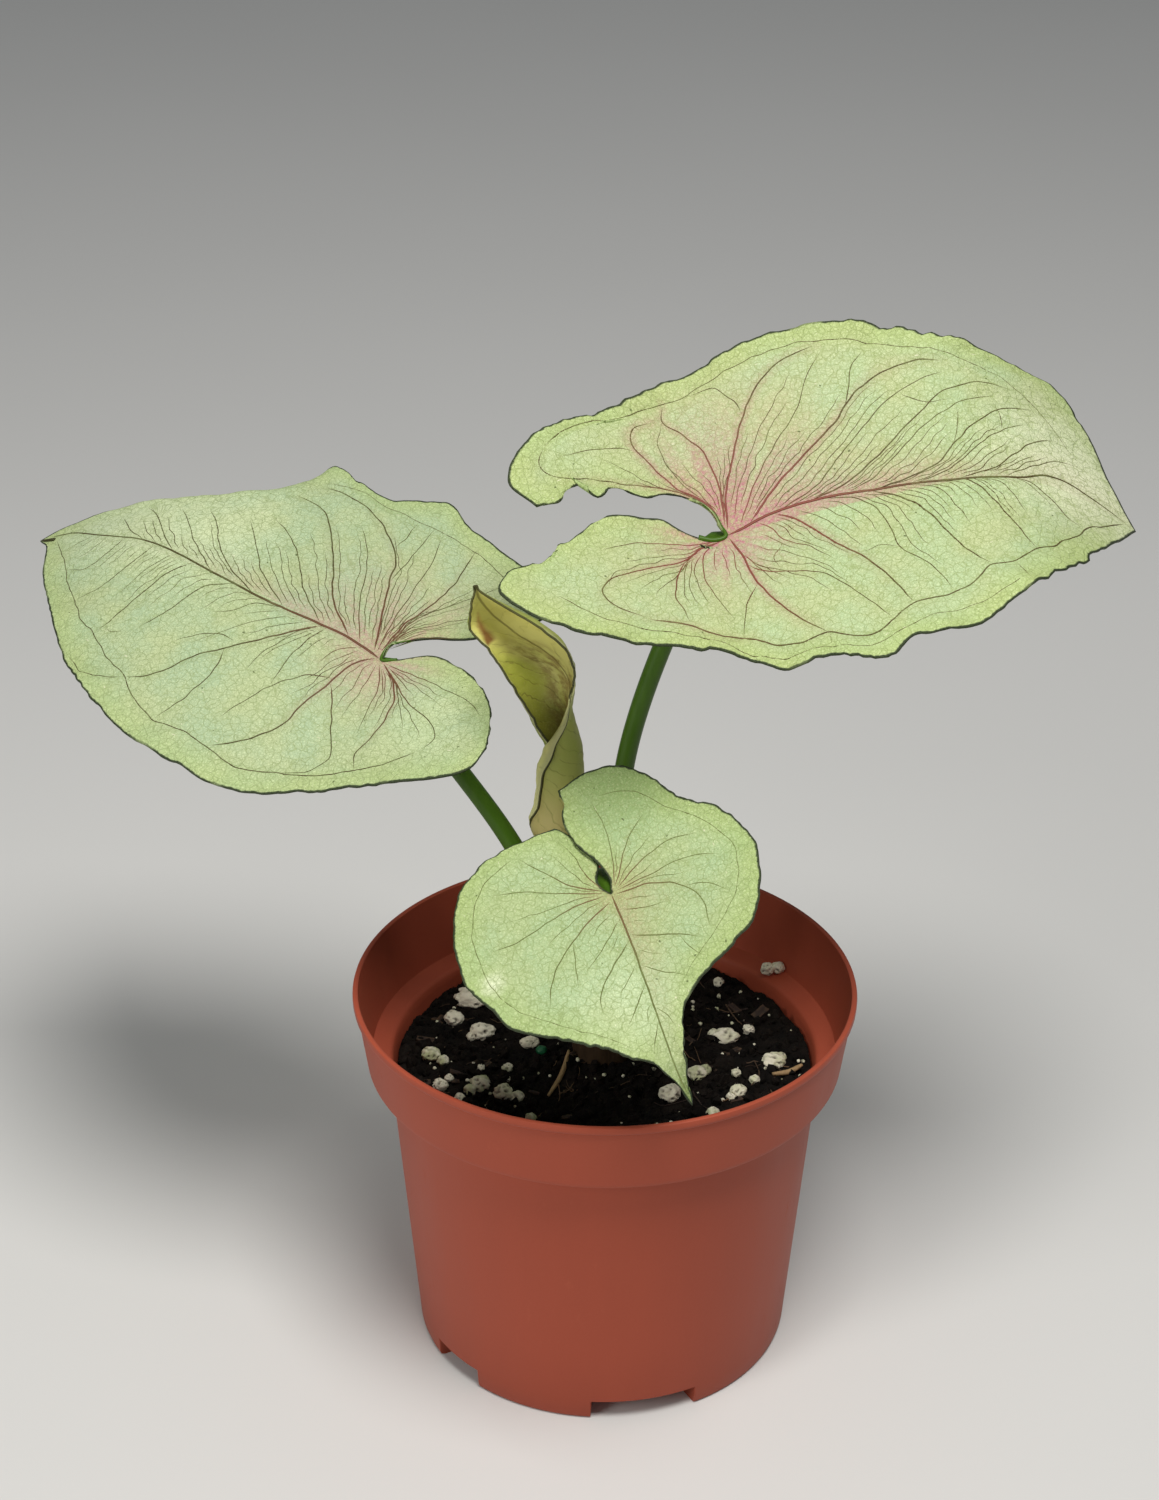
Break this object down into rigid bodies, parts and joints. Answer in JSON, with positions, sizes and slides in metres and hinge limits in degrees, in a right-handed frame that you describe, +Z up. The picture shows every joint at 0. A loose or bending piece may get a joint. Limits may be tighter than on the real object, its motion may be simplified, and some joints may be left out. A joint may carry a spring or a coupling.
{
  "type": "potted foliage plant",
  "caption": "Syngonium with three pale green, pink-veined heart-shaped leaves and one rolled new leaf, in a terracotta-coloured plastic nursery pot.",
  "frame": {"origin": "on the surface the pot stands on, under the middle of the whole plant's spread; the pot's own axis is 9 mm towards +X and 2 mm towards -Y of it", "axes": "+Z up along the pot's axis, -Y towards the viewer of the picture, +X to the viewer's right, towards the tallest leaf's tip"},
  "size_m": [0.231, 0.1457, 0.2158],
  "materials": {
    "pot_plastic": "satin terracotta-coloured plastic",
    "soil": "moist dark peat mix",
    "perlite": "rough white mineral grain",
    "stalk": "smooth living tissue",
    "leaf": "satin living leaf",
    "young_leaf": "satin living leaf",
    "bark": "dry splinter",
    "pellet": "satin coated grain"
  },
  "bodies": {
    "root": {"pot": "pot_plastic", "soil": "soil", "stem_base": "stalk", "petiole_right": "stalk", "blade_right": "leaf", "petiole_left": "stalk", "blade_left": "leaf", "petiole_front": "stalk", "blade_front": "leaf", "petiole_new": "stalk", "blade_new": "young_leaf", "perlite_01": "perlite", "perlite_02": "perlite", "perlite_03": "perlite", "perlite_04": "perlite", "perlite_05": "perlite", "perlite_06": "perlite", "perlite_07": "perlite", "perlite_08": "perlite", "perlite_09": "perlite", "perlite_10": "perlite", "perlite_11": "perlite", "perlite_12": "perlite", "perlite_13": "perlite", "perlite_14": "perlite", "perlite_on_ledge": "perlite", "bark_sliver_1": "bark", "bark_sliver_2": "bark", "feed_pellet": "pellet"}
  },
  "joints": []
}
